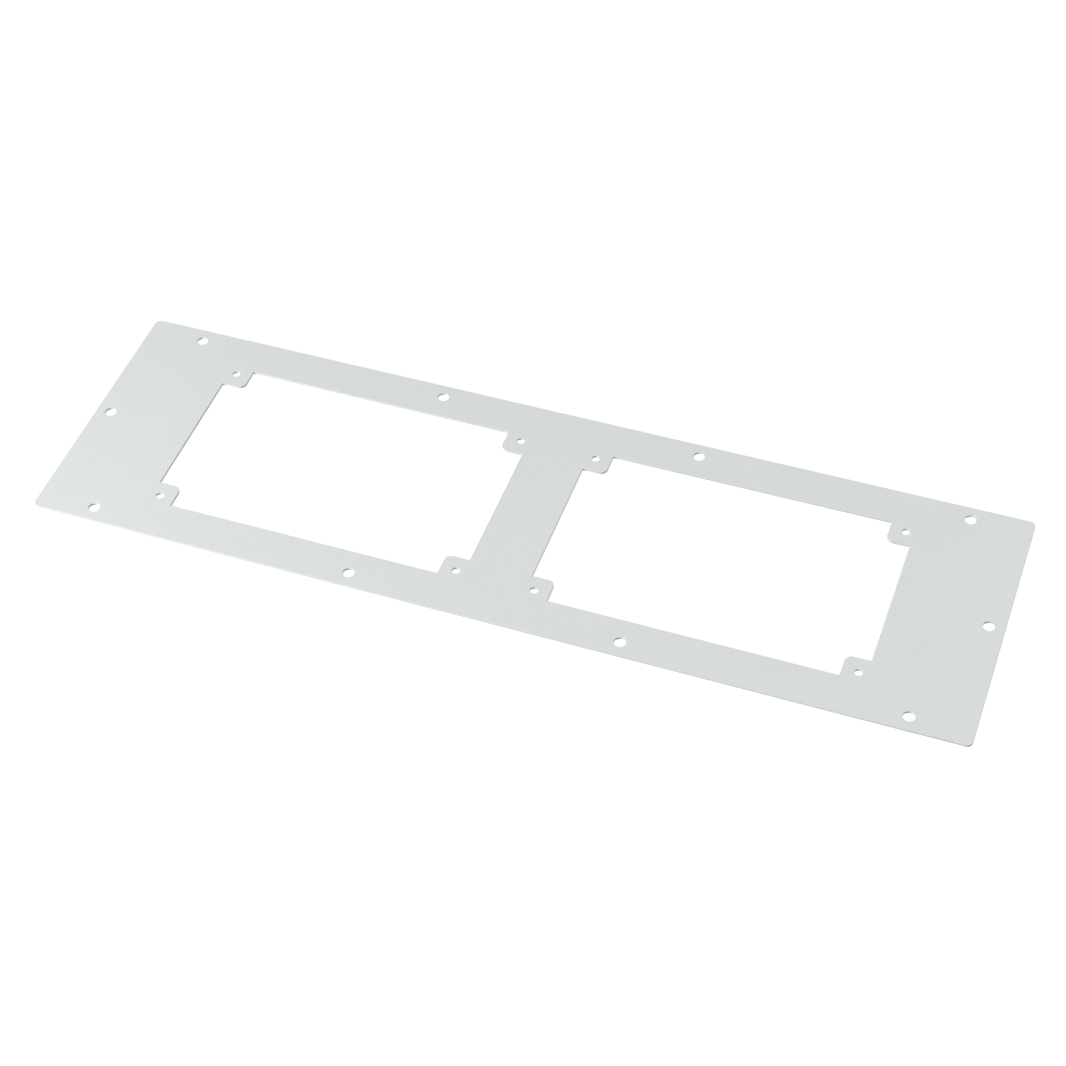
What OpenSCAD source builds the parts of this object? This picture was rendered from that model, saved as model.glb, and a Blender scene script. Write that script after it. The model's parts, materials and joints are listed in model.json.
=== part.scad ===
// Flat floor plate for a floor-standing enclosure, cut from one sheet.
// Fixing holes follow the edge, and two large windows side by side leave room for cable entries.
// Each corner of a window keeps a small drilled tab, which carries a cover plate.
// X runs along the plate, Y across it and Z up, from the middle of the underside.

/* [Sheet] */
// Length of the plate
plate_l = 792; // [700:1:1200]
// Width of the plate
plate_w = 236; // [215:1:400]
// Thickness of the sheet
sheet_t = 2; // [1:0.5:4]
// Radius of the four outer corners
corner_r = 5; // [1:0.5:12]

/* [Fixing holes] */
// Diameter of the fixing holes
fixing_d = 9.5; // [5:0.5:12]
// Distance from the plate's edge to the centre of a fixing hole
fixing_inset = 13; // [9:0.5:16]
// Distance from the plate's end to the first hole of a long row
row_start = 51; // [30:1:90]
// Number of holes in each long row
row_count = 4; // [2:1:8]

/* [Windows] */
// Length of a window
window_l = 278; // [160:1:300]
// Width of a window
window_w = 166; // [100:1:180]
// Width of the bar between the windows
bar_w = 54; // [24:1:80]

/* [Corner tabs] */
// Length of a tab, along the window's long side
tab_l = 20; // [16:0.5:40]
// Width of a tab, along the window's short side
tab_w = 21; // [16:0.5:40]
// Radius of a tab's free corner
tab_r = 6; // [1:0.5:10]
// Diameter of the hole in a tab
tab_hole_d = 6.5; // [3:0.5:8]
// Distance from the window's short side to the centre of a tab's hole
tab_hole_x = 6.5; // [5:0.5:10]
// Distance from the window's long side to the centre of a tab's hole
tab_hole_y = 7; // [5:0.5:10]

/* [Hidden] */
$fn = 96;
sheet_grey = [0.85, 0.86, 0.86];
// Centre of the outermost hole in a long row, and the step from hole to hole
row_reach = plate_l / 2 - row_start;
row_pitch = 2 * row_reach / (row_count - 1);
// Distance from the plate's middle to a window's middle
window_x = (bar_w + window_l) / 2;

// Rectangle with four round corners, centred
module round_rectangle(l, w, r) {
    square([l - 2 * r, w], center = true);
    square([l, w - 2 * r], center = true);
    for (x = [-1, 1], y = [-1, 1])
        translate([x * (l / 2 - r), y * (w / 2 - r)]) circle(r);
}

// Copies of a child at the four corners of a window, each facing the window's middle
module window_corners() {
    for (x = [0, 1], y = [0, 1])
        mirror([x, 0]) mirror([0, y])
            translate([-window_l / 2, -window_w / 2]) children();
}

// Tab that fills a corner of a window: only its free corner is round
module corner_tab() {
    square([tab_l - tab_r, tab_w]);
    square([tab_l, tab_w - tab_r]);
    translate([tab_l - tab_r, tab_w - tab_r]) circle(tab_r);
}

// Opening of a window, less its four tabs
module window() {
    difference() {
        square([window_l, window_w], center = true);
        window_corners() corner_tab();
    }
}

// Holes through the four tabs of a window
module tab_holes() {
    window_corners() translate([tab_hole_x, tab_hole_y]) circle(d = tab_hole_d);
}

// A row of holes near each long edge, and one hole in the middle of each end
module fixing_holes() {
    for (y = [-1, 1], i = [0 : row_count - 1])
        translate([i * row_pitch - row_reach, y * (plate_w / 2 - fixing_inset)]) circle(d = fixing_d);
    for (x = [-1, 1])
        translate([x * (plate_l / 2 - fixing_inset), 0]) circle(d = fixing_d);
}

module floor_plate() {
    color(sheet_grey)
        linear_extrude(sheet_t)
            difference() {
                round_rectangle(plate_l, plate_w, corner_r);
                fixing_holes();
                for (x = [-window_x, window_x]) translate([x, 0]) {
                    window();
                    tab_holes();
                }
            }
}

floor_plate();
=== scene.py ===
import json
import math

import bpy
from mathutils import Matrix, Vector
from mathutils.geometry import delaunay_2d_cdt
from mathutils.kdtree import KDTree


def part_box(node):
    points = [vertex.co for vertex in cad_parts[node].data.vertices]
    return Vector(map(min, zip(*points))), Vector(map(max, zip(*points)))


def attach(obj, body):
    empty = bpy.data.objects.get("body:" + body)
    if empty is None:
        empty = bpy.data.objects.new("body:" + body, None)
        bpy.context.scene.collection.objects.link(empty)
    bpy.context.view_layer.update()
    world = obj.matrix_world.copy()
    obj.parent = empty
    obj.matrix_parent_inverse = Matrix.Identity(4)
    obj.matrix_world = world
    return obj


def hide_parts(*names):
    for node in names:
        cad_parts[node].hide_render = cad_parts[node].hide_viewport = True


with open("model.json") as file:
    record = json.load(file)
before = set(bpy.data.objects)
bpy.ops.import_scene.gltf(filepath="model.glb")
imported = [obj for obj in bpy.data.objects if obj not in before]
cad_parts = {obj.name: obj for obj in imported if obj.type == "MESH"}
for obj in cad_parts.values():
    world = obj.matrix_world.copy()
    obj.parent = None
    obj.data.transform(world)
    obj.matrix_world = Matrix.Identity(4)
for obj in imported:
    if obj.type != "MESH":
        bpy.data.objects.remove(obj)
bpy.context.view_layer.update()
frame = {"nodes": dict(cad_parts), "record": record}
plateLow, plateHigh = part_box("floor_plate")
print("frame loaded:", sorted(frame["nodes"]))


# Camera

shot = {
    "place": Vector((0.4786, -1.1602, 1.3841)),   # where the lens stands, in metres
    "aim": Vector((0.0119, -0.0187, 0.0020)),     # point of the sheet at the middle of the picture
    "roll": math.radians(-3.14),                  # lean of the camera about its own line of sight
    "lens": 76.79,                                # lens and sensor in millimetres
    "sensor": 36.0,
    "clip": (0.05, 60.0),                         # nearest and farthest that it sees
}


def addCamera():
    data = bpy.data.cameras.new("photoCamera")
    data.lens = shot["lens"]
    data.sensor_width = shot["sensor"]
    data.clip_start, data.clip_end = shot["clip"]
    camera = bpy.data.objects.new("photoCamera", data)
    look = (shot["aim"] - shot["place"]).to_track_quat("-Z", "Y").to_matrix()
    turned = look @ Matrix.Rotation(shot["roll"], 3, "Z")
    camera.matrix_world = Matrix.Translation(shot["place"]) @ turned.to_4x4()
    bpy.context.scene.collection.objects.link(camera)
    bpy.context.scene.camera = camera


addCamera()
bpy.context.scene.view_settings.view_transform = "Standard"
print("camera set")


# Shader helper: a wrapped socket takes part in plain arithmetic, and node() adds any other node

class Wire:
    def __init__(self, tree, socket=None):
        self.tree = tree
        self.socket = socket

    def node(self, kind, settings=None, sockets=None, out=0):
        # settings come first, because they decide which sockets a node has
        made = self.tree.nodes.new(kind)
        for name, value in (settings or {}).items():
            setattr(made, name, value)
        for name, value in (sockets or {}).items():
            if isinstance(value, Wire):
                self.tree.links.new(value.socket, made.inputs[name])
            else:
                made.inputs[name].default_value = value
        return Wire(self.tree, made.outputs[out]) if made.outputs else made

    def maths(self, operation, left, right):
        return self.node("ShaderNodeMath", {"operation": operation}, {0: left, 1: right})

    def __add__(self, other):
        return self.maths("ADD", self, other)

    def __radd__(self, other):
        return self.maths("ADD", other, self)

    def __sub__(self, other):
        return self.maths("SUBTRACT", self, other)

    def __rsub__(self, other):
        return self.maths("SUBTRACT", other, self)

    def __mul__(self, other):
        return self.maths("MULTIPLY", self, other)

    def __rmul__(self, other):
        return self.maths("MULTIPLY", other, self)


def emptyTree(owner):
    owner.use_nodes = True
    owner.node_tree.nodes.clear()
    return Wire(owner.node_tree)


# Powder coat

coat = {
    "thick": (0.690, 0.721, 0.712, 1.0),   # pale cool grey of the flat faces
    "thin": (0.632, 0.660, 0.652, 1.0),    # a shade deeper, where the coat pulls back from a cut edge
    # noise layers: cells in a metre, octaves, and how much of its strength each octave passes on
    "cloud": {"Scale": 14.0, "Detail": 2.0, "Roughness": 0.5},      # drift in shade, 70 mm across
    "mottle": {"Scale": 110.0, "Detail": 3.0, "Roughness": 0.6},    # small mottling, 9 mm across
    "peel": {"Scale": 380.0, "Detail": 1.5, "Roughness": 0.5},      # orange peel, 2.6 mm across
    "grain": {"Scale": 1500.0, "Detail": 2.0, "Roughness": 0.65},   # grain of the powder, 0.7 mm across
    "cloudShade": 0.040,      # from a layer's darkest shade to its lightest, as a share of the grey
    "mottleShade": 0.044,
    "peelHeight": 0.000085,   # in metres, from trough to crest
    "grainHeight": 0.000062,
    "roughness": 0.46,
    "roughDrift": 0.10,
}


def coatMaterial():
    material = bpy.data.materials.new("powderCoat")
    tree = emptyTree(material)
    place = tree.node("ShaderNodeTexCoord", out="Object")
    cloud, mottle, peel, grain = (
        tree.node("ShaderNodeTexNoise", {"noise_dimensions": "3D"}, {"Vector": place, **coat[layer]})
        for layer in ("cloud", "mottle", "peel", "grain"))
    edge = tree.node("ShaderNodeAttribute", {"attribute_name": "cutEdge"}, out="Fac")

    # shade of the coat, then a drift that lightens and darkens it: noise swings about 0.5
    shade = tree.node("ShaderNodeMix", {"data_type": "RGBA"},
                      {"Factor": edge, "A": coat["thick"], "B": coat["thin"]}, out="Result")
    drift = 1 + (cloud - 0.5) * coat["cloudShade"] + (mottle - 0.5) * coat["mottleShade"]
    colour = tree.node("ShaderNodeVectorMath", {"operation": "SCALE"}, {0: shade, "Scale": drift})
    roughness = coat["roughness"] + (mottle + grain - 1) * coat["roughDrift"]

    # the height is in metres, so the bump's own distance is 1
    height = peel * coat["peelHeight"] + grain * coat["grainHeight"]
    relief = tree.node("ShaderNodeBump", None,
                       {"Strength": 1.0, "Distance": 1.0, "Height": height}, out="Normal")
    surface = tree.node("ShaderNodeBsdfPrincipled", None,
                        {"Base Color": colour, "Roughness": roughness, "Normal": relief, "IOR": 1.5})
    tree.node("ShaderNodeOutputMaterial", None, {"Surface": surface})
    return material


# Sheet

sheet = {
    "cornerRadius": 0.005,      # outer corners
    "window": (0.278, 0.166),   # each window, before its tabs
    "bar": 0.054,               # between the windows
    "tab": (0.020, 0.021),
    "tabRadius": 0.006,
    "rootRadius": 0.0005,       # where a tab meets the window's side
    "edgeRadius": 0.0003,       # the coat rounds every cut edge
    "edgeSteps": 4,
    "arcStep": math.radians(6.0),
    "arcSteps": 3,              # the fewest that an arc has
    "grid": 0.012,              # spacing of the points that keep the flat faces' triangles even
    "gridGap": 0.004,           # room between such a point and the nearest rim
    "weld": 1e-7,               # points closer than this count as one
}
quarters = ((1, -1), (1, 1), (-1, 1), (-1, -1))   # corners in anticlockwise order
perMetre = 1000                                   # the record gives the holes in millimetres


def rightOf(heading):
    return Vector((math.sin(heading), -math.cos(heading)))


def arcPoints(centre, bend, heading, turn):
    # pairs of a point and its right-hand normal, along an arc that bends left where bend is positive
    steps = max(sheet["arcSteps"], math.ceil(abs(turn) / sheet["arcStep"]))
    sides = [rightOf(heading + turn * step / steps) for step in range(steps + 1)]
    return [(centre + side * bend, side) for side in sides]


def straightPoints(start, end):
    # the same pairs, between the ends of a straight stretch
    steps = round((end[0] - start[0]).length / sheet["grid"])
    return [(start[0].lerp(end[0], step / steps), start[1]) for step in range(1, steps)]


def filleted(corners):
    # closed outline through the corners, each of them a point and its radius
    arcs = []
    for i, (corner, radius) in enumerate(corners):
        arrive = corner - corners[i - 1][0]
        leave = corners[(i + 1) % len(corners)][0] - corner
        heading = math.atan2(arrive.y, arrive.x)
        turn = (math.atan2(leave.y, leave.x) - heading + math.pi) % (2 * math.pi) - math.pi
        bend = math.copysign(radius, turn)
        start = corner - arrive.normalized() * radius * math.tan(abs(turn) / 2)
        arcs.append(arcPoints(start - rightOf(heading) * bend, bend, heading, turn))
    outline = []
    for i, arc in enumerate(arcs):
        outline += straightPoints(arcs[i - 1][-1], arc[0]) + arc
    return outline


def plateOutline():
    corners = [Vector((x * plateHigh.x, y * plateHigh.y)) for x, y in quarters]
    return filleted([(corner, sheet["cornerRadius"]) for corner in corners])


def windowOutline(middle):
    # at each corner the walk turns in along a tab, round the tab's free corner and out again
    halfX, halfY = (side / 2 for side in sheet["window"])
    freeX, freeY = halfX - sheet["tab"][0], halfY - sheet["tab"][1]
    corners = []
    for quarter, (x, y) in enumerate(quarters):
        walk = [((freeX, halfY), sheet["rootRadius"]),
                ((freeX, freeY), sheet["tabRadius"]),
                ((halfX, freeY), sheet["rootRadius"])]
        if quarter % 2:
            walk.reverse()
        corners += [(Vector((middle + x * reach[0], y * reach[1])), radius) for reach, radius in walk]
    return filleted(corners)


def holeOutlines():
    # every hole of the record's bolt patterns
    outlines = []
    for mount in frame["record"]["mounts"]:
        if mount["kind"] != "bolt_pattern":
            continue
        dims = mount["dims"]
        middle = Vector(mount["pos_m"][:2])
        halfX, halfY = (dims.get(key, 0) / perMetre / 2 for key in ("spacing_x_mm", "spacing_y_mm"))
        for x, y in sorted({(x * halfX, y * halfY) for x, y in quarters}):
            circle = arcPoints(middle + Vector((x, y)), dims["hole_r_mm"] / perMetre, 0, 2 * math.pi)
            outlines.append(circle[:-1])   # the last point is the first again
    return outlines


def inMetal(point, rims):
    # a line to the right of the point crosses the rims an odd number of times
    odd = False
    for rim in rims:
        for i, tip in enumerate(rim):
            tail = rim[i - 1]
            if (tip.y > point.y) != (tail.y > point.y):
                odd ^= point.x < tip.x + (tail.x - tip.x) * (point.y - tip.y) / (tail.y - tip.y)
    return odd


def edgeSection():
    # section through a cut edge, from the underside up
    # each step has its inset from the outline, its height and the slope of its normal
    radius, steps = sheet["edgeRadius"], sheet["edgeSteps"]
    angles = [math.pi / 2 * step / steps for step in range(steps + 1)]
    upper = [(radius * (1 - math.cos(a)), plateHigh.z - radius * (1 - math.sin(a)), a) for a in angles]
    lower = [(inset, plateLow.z + plateHigh.z - height, -a) for inset, height, a in upper]
    return lower[::-1] + upper


def flatTriangles(rims):
    # triangles of a flat face between its rims, with a grid of points added well inside the metal
    points, edges = [], []
    for rim in rims:
        first = len(points)
        points += rim
        edges += [(first + i, first + (i + 1) % len(rim)) for i in range(len(rim))]
    nearest = KDTree(len(points))
    for i, point in enumerate(points):
        nearest.insert(point.to_3d(), i)
    nearest.balance()
    columns = round(2 * plateHigh.x / sheet["grid"])
    rows = round(2 * plateHigh.y / sheet["grid"])
    for column in range(1, columns):
        for row in range(1, rows):
            x = plateHigh.x * (2 * column / columns - 1)
            y = plateHigh.y * (2 * row / rows - 1)
            point = Vector((x, y))
            if nearest.find(point.to_3d())[2] > sheet["gridGap"] and inMetal(point, rims):
                points.append(point)
    # the 1 keeps every triangle within the plate's outline, and those across an opening go after it
    placed, _, faces, origins, _, _ = delaunay_2d_cdt(points, edges, [], 1, sheet["weld"])
    kept = [face for face in faces
            if inMetal(sum((placed[i] for i in face), Vector((0, 0))) / len(face), rims)]
    return points, [[origins[i][0] for i in face] for face in kept]


def addWall(built, outline, section, out):
    # a ring of points at each step of the section, and quads from ring to ring
    # out is 1 where the empty side is on the right of the outline, and -1 where it is on the left
    first = len(built["points"])
    for step, (inset, height, slope) in enumerate(section):
        onFace = step in (0, len(section) - 1)
        for point, side in outline:
            flat = point - side * (out * inset)
            level = side * (out * math.cos(slope))
            built["points"].append((flat.x, flat.y, height))
            built["normals"].append((level.x, level.y, math.sin(slope)))
            built["cutEdge"].append(0.0 if onFace else 1.0)
    for ring in range(len(section) - 1):
        low = first + ring * len(outline)
        high = low + len(outline)
        for i in range(len(outline)):
            j = (i + 1) % len(outline)
            quad = [low + i, low + j, high + j, high + i]
            built["faces"].append(quad if out > 0 else quad[::-1])
    return first


def addFlatFace(built, rim, points, triangles, height, up):
    # the points along the rims stand there already, and those of the grid are added
    index = list(rim)
    for point in points[len(rim):]:
        index.append(len(built["points"]))
        built["points"].append((point.x, point.y, height))
        built["normals"].append((0, 0, up))
        built["cutEdge"].append(0.0)
    built["faces"] += [[index[i] for i in face[::up]] for face in triangles]


def buildSheet():
    reach = (sheet["bar"] + sheet["window"][0]) / 2   # from the plate's middle to a window's
    openings = [windowOutline(-reach), windowOutline(reach)] + holeOutlines()
    section = edgeSection()
    built = {"points": [], "normals": [], "cutEdge": [], "faces": []}
    lowRims, lowIndex, highIndex = [], [], []
    for outline, out in [(plateOutline(), 1)] + [(opening, -1) for opening in openings]:
        first = addWall(built, outline, section, out)
        low = range(first, first + len(outline))
        lowRims.append([Vector(built["points"][i][:2]) for i in low])
        lowIndex += low
        highIndex += [i + (len(section) - 1) * len(outline) for i in low]
    points, triangles = flatTriangles(lowRims)
    addFlatFace(built, lowIndex, points, triangles, plateLow.z, -1)
    addFlatFace(built, highIndex, points, triangles, plateHigh.z, 1)

    mesh = bpy.data.meshes.new("floorPlateCoated")
    mesh.from_pydata(built["points"], [], built["faces"])
    mesh.attributes.new("cutEdge", "FLOAT", "POINT").data.foreach_set("value", built["cutEdge"])
    mesh.shade_smooth()
    mesh.normals_split_custom_set_from_vertices(built["normals"])
    mesh.materials.append(coatMaterial())
    piece = bpy.data.objects.new("floor_plate_coated", mesh)
    bpy.context.scene.collection.objects.link(piece)
    return piece


plate = buildSheet()
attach(plate, "root")
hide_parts("floor_plate")
print("sheet built:", len(plate.data.vertices), "points,", len(plate.data.polygons), "faces")


# Floor, light and air

studio = {
    "floorSize": 24.0,
    "paper": (0.30, 0.30, 0.30, 1.0),       # floor that lights the sheet's edges from below
    "paperSeen": (0.28, 0.28, 0.28, 1.0),   # the part of the seen floor that takes shadows
    "glowNear": (0.86, 0.86, 0.86, 1.0),    # the rest of the seen floor is white light
    "glowFar": (1.0, 1.0, 1.0, 1.0),
    "fadeFrom": 1.2,                        # from near to far, in metres from the sheet's middle
    "fadeTo": 3.0,
    "air": 0.235,                           # even light from all round
}
softboxes = {
    "key": {"place": (-1.87, -1.56, 0.96), "size": (0.8, 0.6), "power": 87.0},   # low, front left
    "fill": {"place": (1.03, 0.39, 1.23), "size": (1.0, 1.0), "power": 10.7},    # high, past the right end
}
white = (1.0, 1.0, 1.0, 1.0)
black = (0.0, 0.0, 0.0, 1.0)


def seenDirectly(tree):
    # 1 for what the camera sees, straight or in a mirror or through glass
    camera, glossy, through = (tree.node("ShaderNodeLightPath", out=name)
                               for name in ("Is Camera Ray", "Is Glossy Ray", "Is Transmission Ray"))
    return tree.maths("MAXIMUM", tree.maths("MAXIMUM", camera, glossy), through)


def addFloor():
    half = studio["floorSize"] / 2
    mesh = bpy.data.meshes.new("studioFloor")
    mesh.from_pydata([(x * half, y * half, plateLow.z) for x, y in quarters], [], [(0, 1, 2, 3)])
    floor = bpy.data.objects.new("studio_floor", mesh)
    bpy.context.scene.collection.objects.link(floor)
    material = bpy.data.materials.new("studioFloor")
    tree = emptyTree(material)
    seen = seenDirectly(tree)
    place = tree.node("ShaderNodeTexCoord", out="Object")
    away = tree.node("ShaderNodeVectorMath", {"operation": "LENGTH"}, {0: place}, out="Value")
    far = tree.node("ShaderNodeMapRange", {"interpolation_type": "SMOOTHSTEP"},
                    {"Value": away, "From Min": studio["fadeFrom"], "From Max": studio["fadeTo"]})
    glow = tree.node("ShaderNodeMix", {"data_type": "RGBA"},
                     {"Factor": far, "A": studio["glowNear"], "B": studio["glowFar"]}, out="Result")
    glow = tree.node("ShaderNodeMix", {"data_type": "RGBA"},
                     {"Factor": seen, "A": black, "B": glow}, out="Result")
    paper = tree.node("ShaderNodeMix", {"data_type": "RGBA"},
                      {"Factor": seen, "A": studio["paper"], "B": studio["paperSeen"]}, out="Result")
    surface = tree.node("ShaderNodeBsdfPrincipled", None,
                        {"Base Color": paper, "Roughness": 1.0, "Specular IOR Level": 0.0,
                         "Emission Color": glow, "Emission Strength": 1.0})
    tree.node("ShaderNodeOutputMaterial", None, {"Surface": surface})
    mesh.materials.append(material)


def addAir():
    # a strength of 1 is plain white behind the sheet, and only the rest of the world lights it
    world = bpy.data.worlds.new("studioAir")
    bpy.context.scene.world = world
    tree = emptyTree(world)
    air = tree.node("ShaderNodeBackground", None, {"Color": white, "Strength": studio["air"]})
    backdrop = tree.node("ShaderNodeBackground", None, {"Color": white, "Strength": 1.0})
    surface = tree.node("ShaderNodeMixShader", None, {0: seenDirectly(tree), 1: air, 2: backdrop})
    tree.node("ShaderNodeOutputWorld", None, {"Surface": surface})


def addSoftbox(name):
    box = softboxes[name]
    data = bpy.data.lights.new(name, "AREA")
    data.shape = "RECTANGLE"
    data.size, data.size_y = box["size"]
    data.energy = box["power"]
    lamp = bpy.data.objects.new(name, data)
    lamp.location = box["place"]
    lamp.rotation_euler = (-Vector(box["place"])).to_track_quat("-Z", "Y").to_euler()
    bpy.context.scene.collection.objects.link(lamp)


addFloor()
addAir()
for name in softboxes:
    addSoftbox(name)
print("studio lit")
